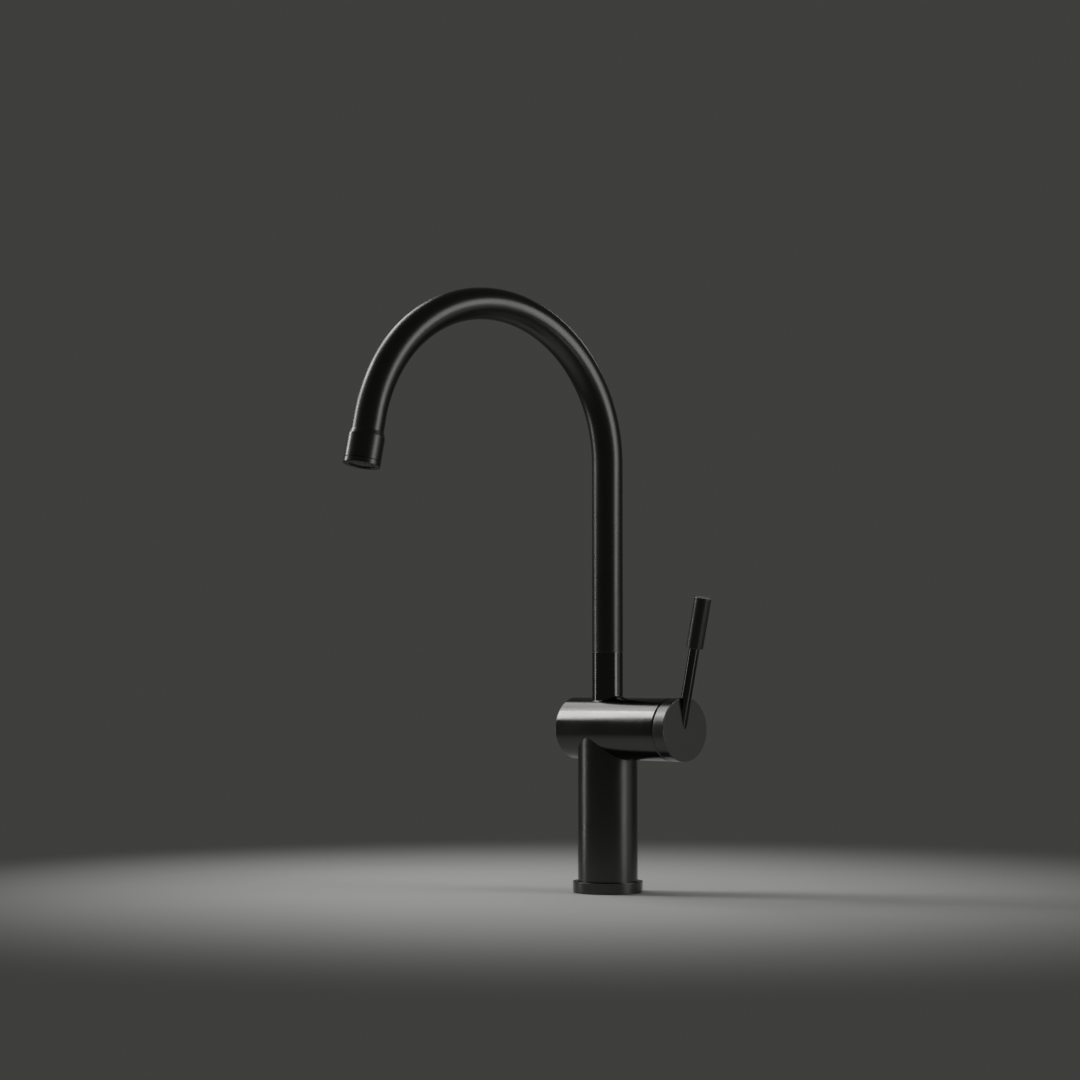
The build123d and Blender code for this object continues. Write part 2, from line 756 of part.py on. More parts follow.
print("pivot", round(pivot_place, 3), "seam", round(seam_place, 3), "cap face", round(cap_face, 3))
print("disc travel", round(disc_travel, 3), "outlet", outlet_point)
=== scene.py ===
# %% [markdown]
# # A gooseneck kitchen faucet in satin black metal
# The measured model already says where every piece sits and how it moves. This lesson gives the
# pieces that show their finished surfaces: soft edges, the marks of a brushing belt, threads
# under the deck. Loading comes first, because every later number is taken in that shared frame.

# %% Load the measured frame
import json
import math
import bpy
import numpy as np
from mathutils import Matrix, Vector


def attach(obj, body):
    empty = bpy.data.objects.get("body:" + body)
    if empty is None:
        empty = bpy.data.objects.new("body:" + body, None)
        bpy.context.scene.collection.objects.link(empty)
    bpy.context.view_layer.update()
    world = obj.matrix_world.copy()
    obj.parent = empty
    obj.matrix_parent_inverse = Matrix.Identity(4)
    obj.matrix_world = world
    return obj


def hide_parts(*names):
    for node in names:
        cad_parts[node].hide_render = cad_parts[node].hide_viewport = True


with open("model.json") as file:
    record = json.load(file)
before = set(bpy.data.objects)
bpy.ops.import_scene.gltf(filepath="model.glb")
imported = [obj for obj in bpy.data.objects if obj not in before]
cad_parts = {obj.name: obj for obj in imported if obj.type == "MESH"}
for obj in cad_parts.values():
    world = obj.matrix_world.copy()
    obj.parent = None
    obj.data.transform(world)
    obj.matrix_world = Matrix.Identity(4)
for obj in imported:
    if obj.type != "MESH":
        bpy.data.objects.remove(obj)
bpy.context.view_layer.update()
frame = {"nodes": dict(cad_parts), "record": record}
MM = 0.001

# %% [markdown]
# ## The camera
# The picture to match was taken a little above deck level, from the front and the lever's side.
# A camera could be placed by eye, but here its place, pitch and focal length come from fitting
# the faucet's edges, so it is written as angles: where it stands, and where it looks.

# %% Camera
camera_around = math.radians(44.742)
camera_heading = math.radians(46.286)
camera_pitch = math.radians(3.132)
camera_distance = 1768.34 * MM
camera_height = 150.63 * MM
sensor_width, focal_length = 36, 83.42

heading_cos, heading_sin = math.cos(camera_heading), math.sin(camera_heading)
forward = Vector((-heading_sin, heading_cos, math.tan(camera_pitch))).normalized()
rightward = Vector((heading_cos, heading_sin, 0))
upward = rightward.cross(forward)
camera = bpy.data.objects.new("camera", bpy.data.cameras.new("camera"))
bpy.context.scene.collection.objects.link(camera)
camera.data.sensor_width = sensor_width
camera.data.lens = focal_length
camera.data.clip_start = 0.01
camera.matrix_world = Matrix(
    (
        (rightward.x, upward.x, -forward.x, math.sin(camera_around) * camera_distance),
        (rightward.y, upward.y, -forward.y, -math.cos(camera_around) * camera_distance),
        (rightward.z, upward.z, -forward.z, camera_height),
        (0, 0, 0, 1),
    )
)
bpy.context.scene.camera = camera
bpy.context.scene.view_settings.view_transform = "Standard"
print("camera at", [round(v, 3) for v in camera.location])

# %% [markdown]
# ## Shader maths as plain expressions
# A finish is a network of nodes, and drawing one node at a time hides the idea. The small class
# below wraps a socket, so that `0.3 + 0.1 * streaks` adds the Math nodes by itself. Everything
# else goes through one method that takes a node's kind, its settings and its sockets.

# %% Sockets that do arithmetic
class Wire:
    """One output socket. Arithmetic with numbers or other wires adds a Math node to its tree."""

    def __init__(self, finish, socket):
        self.finish = finish
        self.socket = socket

    def math(self, operation, first, second):
        return self.finish.node("ShaderNodeMath", {"operation": operation}, {0: first, 1: second})

    def __add__(self, other):
        return self.math("ADD", self, other)

    def __radd__(self, other):
        return self.math("ADD", other, self)

    def __sub__(self, other):
        return self.math("SUBTRACT", self, other)

    def __rsub__(self, other):
        return self.math("SUBTRACT", other, self)

    def __mul__(self, other):
        return self.math("MULTIPLY", self, other)

    def __rmul__(self, other):
        return self.math("MULTIPLY", other, self)


class Finish:
    """A material, or the room, in the making. One method, node, adds all of its nodes."""

    def __init__(self, owner, shader="Principled BSDF"):
        owner.use_nodes = True
        self.owner = owner
        self.tree = owner.node_tree
        self.shader = self.tree.nodes[shader]

    def feed(self, node, sockets):
        for key, value in sockets.items():
            if isinstance(value, Wire):
                self.tree.links.new(value.socket, node.inputs[key])
            else:
                node.inputs[key].default_value = value

    def node(self, kind, settings, sockets, output=0):
        made = self.tree.nodes.new(kind)
        for key, value in settings.items():
            setattr(made, key, value)
        self.feed(made, sockets)
        return Wire(self, made.outputs[output])

    def stretched(self, vector, scale):
        """A vector with each axis multiplied by its own scale, in cells per metre."""
        return self.node("ShaderNodeVectorMath", {"operation": "MULTIPLY"}, {0: vector, 1: scale})

    def noise(self, vector, scale, detail=1.0):
        """Soft noise around 0.5, with each axis at its own scale."""
        sockets = {"Vector": self.stretched(vector, scale), "Scale": 1.0, "Detail": detail}
        return self.node("ShaderNodeTexNoise", {}, sockets)

    def between(self, value, low, high):
        """0 below low, 1 above high, and a smooth step from one to the other."""
        settings = {"interpolation_type": "SMOOTHSTEP"}
        sockets = {"Value": value, "From Min": low, "From Max": high}
        return self.node("ShaderNodeMapRange", settings, sockets)

    def blend(self, share, first, second):
        """Colour that goes from first to second as share goes from 0 to 1."""
        settings = {"data_type": "RGBA"}
        return self.node("ShaderNodeMix", settings, {0: share, 6: first, 7: second}, 2)

    def relief(self, height, depth):
        """Normal of a surface whose height, from 0 to 1, stands for a depth in metres."""
        sockets = {"Strength": 1.0, "Distance": depth, "Height": height}
        return self.node("ShaderNodeBump", {}, sockets)

    def attribute(self, name, output):
        return self.node("ShaderNodeAttribute", {"attribute_name": name}, {}, output)

    def object_place(self):
        return self.node("ShaderNodeTexCoord", {}, {}, 3)


print("shader maths ready")

# %% [markdown]
# ## The satin black skin
# The visible metal is brushed round and round on a belt, then coated in a thin black layer that
# keeps the marks. That is why highlights stay sharp round each tube and smear along it. Instead
# of an anisotropy setting, real hairlines are drawn as relief: noise that changes quickly along
# a piece and slowly round it. Each piece carries an attribute called lay that holds its own
# round-and-along place, so the hairlines follow the bend of the spout too. The housing is finished
# finest, the tubes and the grip are duller, and the foot keeps the deepest marks.

# %% Brushed black metal
coat_dark = (0.0312, 0.031, 0.0308, 1)
coat_light = (0.0352, 0.0346, 0.034, 1)
coat_worn = (0.080, 0.078, 0.076, 1)
glancing_tint = (0.70, 0.70, 0.70, 1)  # of what is mirrored at a low angle


def brushed_black(name, groove_depth, base_roughness):
    """Black metal: hairlines and bands as relief, smudges in the gloss, and paler worn edges."""
    finish = Finish(bpy.data.materials.new(name))
    lay = finish.attribute("lay", "Vector")
    edge = finish.attribute("edge", "Fac")
    hairlines = finish.noise(lay, (70, 70, 7500), 2.0)
    bands = finish.noise(lay, (25, 25, 900), 1.0)
    smudges = finish.noise(lay, (30, 30, 30), 3.0)
    worn = edge * finish.between(finish.noise(lay, (400, 400, 400), 2.0), 0.42, 0.62)
    coat = finish.blend(bands, coat_dark, coat_light)
    colour = finish.blend(0.6 * worn, coat, coat_worn)
    roughness = base_roughness + 0.05 * (bands - 0.5) + 0.12 * (smudges - 0.5) - 0.06 * worn
    relief = finish.relief(0.7 * hairlines + 0.3 * bands, groove_depth)
    finish.feed(
        finish.shader,
        {
            "Base Color": colour,
            "Metallic": 1.0,
            "Roughness": roughness,
            "Specular Tint": glancing_tint,
            "Normal": relief,
        },
    )
    return finish.owner


black_tube = brushed_black("satin_black_tube", 0.003 * MM, 0.30)
black_fine = brushed_black("satin_black_fine", 0.004 * MM, 0.16)
black_foot = brushed_black("satin_black_foot", 0.060 * MM, 0.24)
black_cap = brushed_black("satin_black_cap", 0.004 * MM, 0.26)
black_grip = brushed_black("satin_black_grip", 0.008 * MM, 0.36)
black_finishes = (black_tube, black_fine, black_foot, black_cap, black_grip)
print("black finishes:", [made.name for made in black_finishes])

# %% [markdown]
# ## Metals of the hidden works
# Under the deck and inside the body sit brass, copper and steel. They are plain engineering
# surfaces, so each gets the marks that its making and its age leave: fine rings from the cutting
# tool, and clouds of tarnish. One function with two colours and a ring size serves all three.

# %% Metals of the works
ring_depth = 0.01 * MM


def turned_metal(name, light, dark, roughness, ring_scale):
    """Machined metal: fine rings that change along Z, cloudy tarnish, and edges kept bright."""
    finish = Finish(bpy.data.materials.new(name))
    spot = finish.object_place()
    edge = finish.attribute("edge", "Fac")
    rings = finish.noise(spot, (40, 40, ring_scale), 1.0)
    clouds = finish.between(finish.noise(spot, (120, 120, 120), 3.0), 0.35, 0.75)
    colour = finish.blend(clouds, light, dark)
    bright = finish.blend(0.5 * edge, colour, light)
    rough = roughness + 0.12 * (rings - 0.5) + 0.10 * clouds
    finish.feed(
        finish.shader,
        {
            "Base Color": bright,
            "Metallic": 1.0,
            "Roughness": rough,
            "Normal": finish.relief(rings, ring_depth),
        },
    )
    return finish.owner


brass = turned_metal("machined_brass", (0.72, 0.53, 0.25, 1), (0.56, 0.39, 0.17, 1), 0.28, 3000)
copper = turned_metal("drawn_copper", (0.75, 0.42, 0.28, 1), (0.52, 0.27, 0.17, 1), 0.30, 60)
steel = turned_metal("zinc_steel", (0.62, 0.62, 0.63, 1), (0.48, 0.49, 0.50, 1), 0.32, 1500)
print("metals:", brass.name, copper.name, steel.name)

# %% [markdown]
# ## Rubber, plastic and ceramic
# Gaskets, seals, the cartridge and its discs come out of moulds, and the discs are lapped flat
# afterwards. A mould leaves a fine grain and a slow change of tone. One function with the grain's
# size and depth serves all five finishes, because they differ only in colour, grain and gloss.

# %% Rubber, plastic and ceramic
def moulded(name, light, dark, roughness, grain, depth):
    """Moulded surface: a fine grain pressed in by the mould, and a slow change of tone."""
    finish = Finish(bpy.data.materials.new(name))
    spot = finish.object_place()
    pits = finish.noise(spot, (grain, grain, grain), 2.0)
    clouds = finish.noise(spot, (90, 90, 90), 2.0)
    finish.feed(
        finish.shader,
        {
            "Base Color": finish.blend(clouds, dark, light),
            "Roughness": roughness + 0.15 * (pits - 0.5),
            "Normal": finish.relief(pits, depth),
        },
    )
    return finish.owner


rubber = moulded(
    "matt_rubber", (0.030, 0.030, 0.031, 1), (0.014, 0.014, 0.015, 1), 0.72, 2500, 0.05 * MM
)
black_plastic = moulded(
    "black_plastic", (0.034, 0.034, 0.036, 1), (0.018, 0.018, 0.019, 1), 0.48, 3500, 0.02 * MM
)
grey_plastic = moulded(
    "grey_plastic", (0.38, 0.39, 0.41, 1), (0.32, 0.33, 0.35, 1), 0.45, 3000, 0.02 * MM
)
white_plastic = moulded(
    "white_plastic", (0.80, 0.80, 0.77, 1), (0.74, 0.74, 0.70, 1), 0.42, 3000, 0.02 * MM
)
ceramic = moulded(
    "lapped_ceramic", (0.88, 0.87, 0.84, 1), (0.82, 0.81, 0.78, 1), 0.22, 6000, 0.002 * MM
)
moulded_finishes = (rubber, black_plastic, grey_plastic, white_plastic, ceramic)
print("moulded:", [made.name for made in moulded_finishes])

# %% [markdown]
# ## Dressing the measured nodes
# Pieces that already have the right shape, such as seals, pipes and the cartridge, stay as they
# were measured and only get a finish. They could be named one by one, but the record gives every
# node a material slot, so one table from slot to finish dresses them all.

# %% Dress the measured nodes by their slots
slot_finish = {
    "black_metal": black_tube,
    "brass": brass,
    "copper": copper,
    "steel": steel,
    "rubber": rubber,
    "black_plastic": black_plastic,
    "grey_plastic": grey_plastic,
    "white_plastic": white_plastic,
    "ceramic": ceramic,
}
for part in frame["record"]["subparts"]:
    dressed = frame["nodes"][part["node"]].data.materials
    dressed.clear()
    dressed.append(slot_finish[part["material_slot"]])

# %% [markdown]
# ## Axes to turn about
# Almost every visible piece is turned on a lathe, so one shape of code serves most of them: a
# profile of radius and height is carried round an axis. The object could be turned and moved into
# place afterwards, but here the axis itself is set in the faucet, so every point is already there.
# The lay of a point has the same radius and turn, but about no axis in particular.

# %% Stands and places
def unit(vectors):
    return vectors / np.linalg.norm(vectors, axis=-1, keepdims=True)


def stand(origin, across, along):
    """An axis to turn about: its origin, a direction across it, the one aside, and along it."""
    along = unit(np.array(along, float))
    across = unit(np.array(across, float) - along * np.dot(across, along))
    return np.array(origin, float), across, np.cross(along, across), along


def place(on, radius, turn, height):
    """Origin plus radius times (cos turn across + sin turn aside) plus height along."""
    origin, across, aside, along = on
    radius, turn, height = (v[..., None] for v in np.broadcast_arrays(radius, turn, height))
    return origin + radius * (np.cos(turn) * across + np.sin(turn) * aside) + height * along


def laid(radius, turn, run):
    """Lay of a point: radius times (cos turn, sin turn), and the length run along the piece."""
    return np.stack(np.broadcast_arrays(radius * np.cos(turn), radius * np.sin(turn), run), -1)


def even_turns(sides):
    return np.arange(sides) * 2 * np.pi / sides


upright = stand((0, 0, 0), (1, 0, 0), (0, 0, 1))
valve_height = 114.6
valve = stand((0, 0, valve_height), (0, 1, 0), (1, 0, 0))
print("stands: upright and valve")

# %% [markdown]
# ## Rounding a profile
# Real edges are never sharp: a file or a small radius on the tool breaks them, and a sharp edge
# in a render catches no light. A modifier could bevel the mesh, but arcs put into the profile keep
# the edges exact. Their points are also marked as edge, so that the finish can show wear there.

# %% Rounding a profile
least_worn_sweep = 0.5  # a corner that turns less shows no wear
least_step = 1e-6  # points nearer than this are one


def softened(corners, steps=4, shoulder=0.12):
    """Profile with rounded corners. Each corner is (radius, height, rounding). The arc's centre
    lies on the corner's bisector, rounding / sin(half angle) away, and its points swing from one
    tangent point to the other. A shoulder point before and after each arc keeps the flats flat."""
    corners = np.array(corners, float)
    here, rounding = corners[:, :2], corners[:, 2:]
    back = unit(np.roll(here, 1, 0) - here)
    ahead = unit(np.roll(here, -1, 0) - here)
    half = np.arccos(np.clip((back * ahead).sum(1, keepdims=True), -1, 1)) / 2
    reach = rounding / np.tan(half)
    centre = here + unit(back + ahead) * rounding / np.sin(half)
    sweep = np.pi - 2 * half
    share = np.linspace(0, 1, steps + 1)
    from_first = np.sin((1 - share) * sweep) / np.sin(sweep)
    from_last = np.sin(share * sweep) / np.sin(sweep)
    first = (here + back * reach - centre)[:, None] * from_first[..., None]
    last = (here + ahead * reach - centre)[:, None] * from_last[..., None]
    before = here + back * (reach + shoulder)
    after = here + ahead * (reach + shoulder)
    line = np.concatenate([before[:, None], centre[:, None] + first + last, after[:, None]], 1)
    edge = np.zeros(line.shape[:2])
    edge[:, 1:-1] = sweep > least_worn_sweep
    return line.reshape(-1, 2), edge.ravel()


def run_along(line):
    """Length run along a profile up to each of its points."""
    return np.concatenate([[0], np.cumsum(np.linalg.norm(np.diff(line, axis=0), axis=1))])


def refined(line, edge, step):
    """The same profile with extra points, so that no stretch is longer than step."""
    run = run_along(line)
    spots = np.union1d(run, np.arange(0, run[-1], step))
    spots = spots[np.concatenate([[True], np.diff(spots) > least_step])]
    finer = np.stack([np.interp(spots, run, line[:, 0]), np.interp(spots, run, line[:, 1])], 1)
    return finer, np.interp(spots, run, edge)


rounded_square = softened([(0, 0, 1), (9, 0, 1), (9, 9, 1), (0, 9, 1)])
print("a rounded square has", len(rounded_square[0]), "points")

# %% [markdown]
# ## Grids and their poles
# A turned skin is a grid, with profile points one way and turns the other. Its last column joins
# its first, and its last row either joins the first too, as in a ring, or closes on a pole. Faces
# come from rolling the array of point numbers, so no point is visited one by one.

# %% Grids and poles
def grid_cells(rows, sides, closed):
    """Quads of a grid that closes round its columns, and round its rows too if closed."""
    index = np.arange(rows * sides).reshape(rows, sides)
    above = np.roll(index, -1, 0)
    cells = np.stack([index, np.roll(index, -1, 1), np.roll(above, -1, 1), above], -1)
    return cells if closed else cells[:-1]


def skin_of(points, lay, edge, poles=None):
    """Points and faces of a grid of rows by sides. With two poles, fans close both its ends."""
    rows, sides = points.shape[:2]
    cells = grid_cells(rows, sides, poles is None)
    skin = {
        "points": points.reshape(-1, 3),
        "lay": lay.reshape(-1, 3),
        "edge": np.broadcast_to(edge[:, None], (rows, sides)).ravel(),
        "cells": cells,
        "fans": np.zeros((0, 3), int),
    }
    if poles is not None:
        low, high = rows * sides, rows * sides + 1
        foot, head = np.arange(sides), np.arange(sides) + (rows - 1) * sides
        low_fan = np.stack([np.full(sides, low), np.roll(foot, -1), foot], 1)
        high_fan = np.stack([head, np.roll(head, -1), np.full(sides, high)], 1)
        reach = np.linalg.norm(np.array(poles) - points[[0, -1], 0], axis=1)
        pole_lay = [(0, 0, lay[0, 0, 2] - reach[0]), (0, 0, lay[-1, 0, 2] + reach[1])]
        skin["points"] = np.vstack([skin["points"], poles])
        skin["lay"] = np.vstack([skin["lay"], pole_lay])
        skin["edge"] = np.append(skin["edge"], [0, 0])
        skin["fans"] = np.vstack([low_fan, high_fan])
    return skin


print("a ring of 3 rows by 8 sides has", grid_cells(3, 8, True).size // 4, "cells")

# %% [markdown]
# ## From skin to piece
# A mesh becomes part of the faucet when it rides on one of the moving bodies and stands for the
# measured node that it hides. Each piece could do this for itself, but in one place nothing can be
# left behind when the spout swings. The mesh also takes along the lay and edge for its finish.

# %% From skin to piece
def make_piece(name, skin, material, slot, body, *nodes):
    """Put a skin, in millimetres, into a mesh that rides on a body and stands for its nodes."""
    mesh = bpy.data.meshes.new(name)
    faces = skin["cells"].reshape(-1, 4).tolist() + skin["fans"].tolist()
    mesh.from_pydata((skin["points"] * MM).tolist(), [], faces)
    lay = mesh.attributes.new("lay", "FLOAT_VECTOR", "POINT")
    lay.data.foreach_set("vector", (skin["lay"] * MM).ravel())
    edge = mesh.attributes.new("edge", "FLOAT", "POINT")
    edge.data.foreach_set("value", skin["edge"].astype(float))
    mesh.polygons.foreach_set("use_smooth", np.ones(len(faces), bool))
    mesh.materials.append(material)
    piece = bpy.data.objects.new(name, mesh)
    bpy.context.scene.collection.objects.link(piece)
    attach(piece, body)
    if nodes:
        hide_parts(*nodes)
    print(name, "has", len(faces), "faces")


# %% [markdown]
# ## Rings and plugs
# Two kinds of turned piece are needed: a ring, with a closed profile, and a plug, whose profile
# starts and ends on the axis. Blender's Screw modifier turns a profile as well, but the hairlines
# are laid by the length run along the profile, and that is worked out here with the points.

# %% Rings and plugs
uncut = 1e9  # a step longer than any profile


def profile_skin(on, line, edge, sides, poles=None):
    """A profile turned about an axis, with its points at equal turns. The lay is the place round
    the axis and the length run along the profile."""
    turns, run, radius = even_turns(sides), run_along(line), line[:, :1]
    lay = laid(radius, turns, run[:, None])
    skin = skin_of(place(on, radius, turns, line[:, 1:]), lay, edge, poles)
    return skin | {"line": line, "turns": turns, "run": run, "on": on}


def turned_ring(on, corners, sides=128, step=uncut):
    """Ring: a closed profile, counter-clockwise with radius to the right, turned about an axis."""
    return profile_skin(on, *refined(*softened(corners), step), sides)


def turned_plug(on, corners, sides=128, step=uncut):
    """Plug: a profile that starts and ends on the axis, turned about it, closed on two poles."""
    line, edge = softened(corners)
    inner = len(line) // len(corners)
    line, edge = refined(line[inner:-inner], edge[inner:-inner], step)
    ends = np.array([corners[0][1], corners[-1][1]], float)
    return profile_skin(on, line, edge, sides, place(on, np.zeros(2), np.zeros(2), ends))


print("lathe ready")

# %% [markdown]
# ## Base flange
# The flange is a flat ring that covers the hole in the deck, with a ledge in its bore for the
# column to stand on. The real one is turned from bar, and it is drawn the same way. The top outer
# edge gets the largest rounding, because cloths and fingers meet it first. Here and further on, a
# small press gap is left between pieces that are pushed into each other.

# %% Base flange
press_gap = 0.02
column_radius, column_bore = 21.0, 18.5
flange_radius, flange_height = 24.65, 7.7
ledge_bore, ledge_height = 19.5, 1.5
flange_socket = column_radius + press_gap
flange = turned_ring(
    upright,
    [
        (ledge_bore, ledge_height, 0.10),
        (ledge_bore, 0.0, 0.10),
        (flange_radius, 0.0, 0.10),
        (flange_radius, flange_height, 0.20),
        (flange_socket, flange_height, 0.10),
        (flange_socket, ledge_height, 0.10),
    ],
)
make_piece("flange_ring", flange, black_foot, "black_metal", "body", "base_flange")

# %% [markdown]
# ## Column
# The column is a tube that ends in a saddle, cut so that it hugs the underside of the horizontal
# housing. The saddle could be a boolean cut, but its height has a formula, the lower half of the
# housing's circle, so the rows of a plain tube are simply stretched to it.

# %% Column with its saddle
housing_radius = 22.0
column_foot, column_reach, column_sides = ledge_height, 100.0, 160
line, edge = softened(
    [
        (column_bore, column_reach, 0.10),
        (column_bore, column_foot, 0.10),
        (column_radius, column_foot, 0.10),
        (column_radius, column_reach, 0.12),
    ]
)
column = profile_skin(upright, line, edge, column_sides)
rows = column["points"].reshape(len(line), column_sides, 3)
saddle = valve_height - np.sqrt(housing_radius**2 - rows[..., 1] ** 2)
share = (rows[..., 2] - column_foot) / (column_reach - column_foot)
rows[..., 2] = column_foot + share * (saddle - column_foot)
column["lay"][:, 2] = rows[..., 2].ravel()
make_piece("column_tube", column, black_tube, "black_metal", "body", "column")

# %% [markdown]
# ## Valve housing
# The housing is a length of tube lying across the column. Its front edge is a narrow zone of a
# ball, centred on the lever's pivot, so that the cap can tilt over it without touching.
# Just behind the ball the wall slopes in a little, and this shallow V is the dark line at the cap.
# A painted line would look the same from afar, but real shadow also holds when the lever moves.

# %% Valve housing
pivot = 45.8
ball_rounding = 3.0
dome_radius = 28.615
housing_rear, housing_front, housing_bore = -30.3, 67.198, 17.55
seat_radius, seat_floor = 19.0, 55.8
groove_start, groove_radius, groove_end = 63.1, 21.62, 64.1


def ball_zone(radius, first, last, count):
    """Corners on a ball about the pivot, from one angle to another off the valve's axis."""
    turns = np.radians(np.linspace(first, last, count))
    return [(radius * math.sin(a), pivot + radius * math.cos(a), ball_rounding) for a in turns]


housing = turned_ring(
    valve,
    [
        (seat_radius, seat_floor, 0.10),
        (housing_bore, seat_floor, 0.10),
        (housing_bore, housing_rear, 0.15),
        (housing_radius, housing_rear, 0.45),
        (housing_radius, groove_start, 0.50),
        (groove_radius, groove_end, 0.40),
        *ball_zone(dome_radius, 48.4, 42.6, 6),
        (seat_radius, housing_front, 0.08),
    ],
    sides=160,
)
make_piece("housing_tube", housing, black_fine, "black_metal", "body", "valve_housing")

# %% [markdown]
# ## Back of the housing
# The rear end is closed by a disc pressed in flush, and the fine ring round it is the only sign
# that it is a separate piece. The two could be one mesh with a groove, but with two pieces both
# edges are rounded as they are on the real ones, and the ring is the gap that is left.

# %% Back of the housing
disc_radius, disc_front = housing_bore - press_gap, -26.3
back_disc = turned_plug(
    valve,
    [
        (0, housing_rear, 0),
        (disc_radius, housing_rear, 0.18),
        (disc_radius, disc_front, 0.10),
        (0, disc_front, 0),
    ],
)
make_piece("housing_back", back_disc, black_fine, "black_metal", "body", "rear_plug")

# %% [markdown]
# ## A round hole in a turned wall
# Two walls of the faucet are drilled: the neck at the back and the cap from below, each for a
# small screw. A boolean would leave long thin triangles, so a hole is woven in: a window of grid
# cells is left out, and rings of points lead from the window's border to a circle, round a small
# lip, and down.

# %% Weaving a round hole into a turned wall
flat_rings = 4
lip_rings = 4


def border_of(low, high, left, right):
    """Rows and columns of the grid points round a window, one after the other."""
    up, over = np.arange(low, high), np.arange(left, right)
    row = np.concatenate([np.full(len(over), low), up, np.full(len(over), high), up[::-1] + 1])
    column = np.concatenate([over, np.full(len(up), right), over[::-1] + 1, np.full(len(up), left)])
    return row, column


def pierced(skin, turn, height, hole, depth, reach, lip=0.15):
    """Leave out the cells within reach of a place on the outer wall. From that window's border,
    rings shrink in straight lines to a circle of hole + lip, follow a quarter arc of radius lip
    inwards, go down to depth, and close on a pole. Places are unrolled: wall radius times turn,
    and height."""
    line, turns, sides = skin["line"], skin["turns"], len(skin["turns"])
    wall = line[:, 0].max()
    on_wall = line[:, 0] > wall - least_step
    rows = np.flatnonzero(on_wall & (np.abs(line[:, 1] - height) < reach))
    columns = np.flatnonzero(np.abs(wall * (turns - turn)) < reach)
    low, high, left, right = rows[0], rows[-1], columns[0], columns[-1]
    keep = np.ones(skin["cells"].shape[:2], bool)
    keep[low:high, left:right] = False
    row, column = border_of(low, high, left, right)
    border = np.stack([wall * (turns[column] - turn), line[row, 1] - height], 1)
    circle = unit(border)
    shrink = np.linspace(0, 1, flat_rings + 1)[1:, None, None]
    flat = (1 - shrink) * border + shrink * circle * (hole + lip)
    swing = np.linspace(0, np.pi / 2, lip_rings + 1)[1:]
    ring_radius = np.append(hole + lip * (1 - np.sin(swing)), hole)[:, None, None]
    spread = np.concatenate([flat, circle * ring_radius])
    sunk = np.concatenate([np.zeros(flat_rings), lip * (1 - np.cos(swing)), [depth]])[:, None]
    turn_at = turn + spread[..., 0] / wall
    points = place(skin["on"], wall - sunk, turn_at, height + spread[..., 1])
    lay = laid(wall, turn_at, skin["run"][low] + spread[..., 1] + height - line[low, 1])
    count, start = len(border), len(skin["points"])
    pole = start + len(spread) * count
    rings = np.vstack([row * sides + column, np.arange(start, pole).reshape(-1, count)])
    following = np.roll(rings, -1, 1)
    cells = np.stack([rings[:-1], following[:-1], following[1:], rings[1:]], -1)
    fan = np.stack([rings[-1], following[-1], np.full(count, pole)], 1)
    bottom = place(skin["on"], wall - depth, np.array(turn), np.array(height))
    worn = np.zeros((len(spread), count))
    worn[flat_rings - 1 : flat_rings + lip_rings - 1] = 1
    return skin | {
        "points": np.vstack([skin["points"], points.reshape(-1, 3), bottom.reshape(1, 3)]),
        "lay": np.vstack([skin["lay"], lay.reshape(-1, 3), lay[-1].mean(0)]),
        "edge": np.concatenate([skin["edge"], worn.ravel(), [0]]),
        "cells": np.vstack([skin["cells"][keep], cells.reshape(-1, 4)]),
        "fans": np.vstack([skin["fans"], fan]),
    }


print("holes can be woven in")

# %% [markdown]
# ## Neck
# The neck is a short tube that rises from the housing and holds the spout's foot. The screw at its
# back keeps the spout in and limits its swing. A plain tube needs few rows, but this one is cut
# into short ones, so that the window for the hole is hardly larger than the hole itself.

# %% Neck
tube_radius = 11.0
neck_foot, neck_step, neck_top = 124.6, 133.0, 167.85
neck_bore, neck_spigot = 9.0, 10.0
screw_height, screw_radius = 153.975, 2.0
neck = turned_ring(
    upright,
    [
        (neck_bore, neck_top, 0.15),
        (neck_bore, neck_foot, 0.15),
        (neck_spigot, neck_foot, 0.15),
        (neck_spigot, neck_step, 0.10),
        (tube_radius, neck_step, 0.10),
        (tube_radius, neck_top, 0.10),
    ],
    sides=120,
    step=0.6,
)
screw_hole = screw_radius + press_gap
neck = pierced(neck, math.pi / 2, screw_height, screw_hole, depth=1.9, reach=3.0)
make_piece("neck_tube", neck, black_fine, "black_metal", "body", "neck_sleeve")

# %% [markdown]
# ## Fillet at the neck's foot
# The neck is brazed to the housing, and a small fillet of filler is left in the corner. A ball
# rolled along that corner touches both walls, so its path is known: as far from the neck's axis
# as the neck's radius plus its own, and from the housing's axis likewise. The fillet is the part
# of the ball between its two touching points, run on a little into both walls and closed behind. A
# bevel on a joined mesh could give it too, but the two tubes would have to be cut into each other.

# %% Fillet at the neck's foot
fillet, fillet_sides, fillet_steps = 1.2, 160, 9
run_on, sink, closing_reach = 0.4, 0.04, 1.9  # in radii of the fillet
turns = even_turns(fillet_sides)
from_neck, from_housing = tube_radius + fillet, housing_radius + fillet
aside = from_neck * np.sin(turns)
above = np.sqrt(from_housing**2 - aside**2)
ball = np.stack([from_neck * np.cos(turns), aside, valve_height + above], -1)
to_neck = np.stack([-np.cos(turns), -np.sin(turns), 0 * turns], -1)
to_housing = np.stack([0 * turns, -aside, -above], -1) / from_housing
lean = (to_neck * to_housing).sum(-1, keepdims=True)
sweep = np.arccos(lean)
share = np.linspace(1, 0, fillet_steps)[:, None, None]
arc = (np.sin((1 - share) * sweep) * to_neck + np.sin(share * sweep) * to_housing) / np.sin(sweep)
past_housing = (1 + sink) * to_housing + run_on * (lean * to_housing - to_neck) / np.sin(sweep)
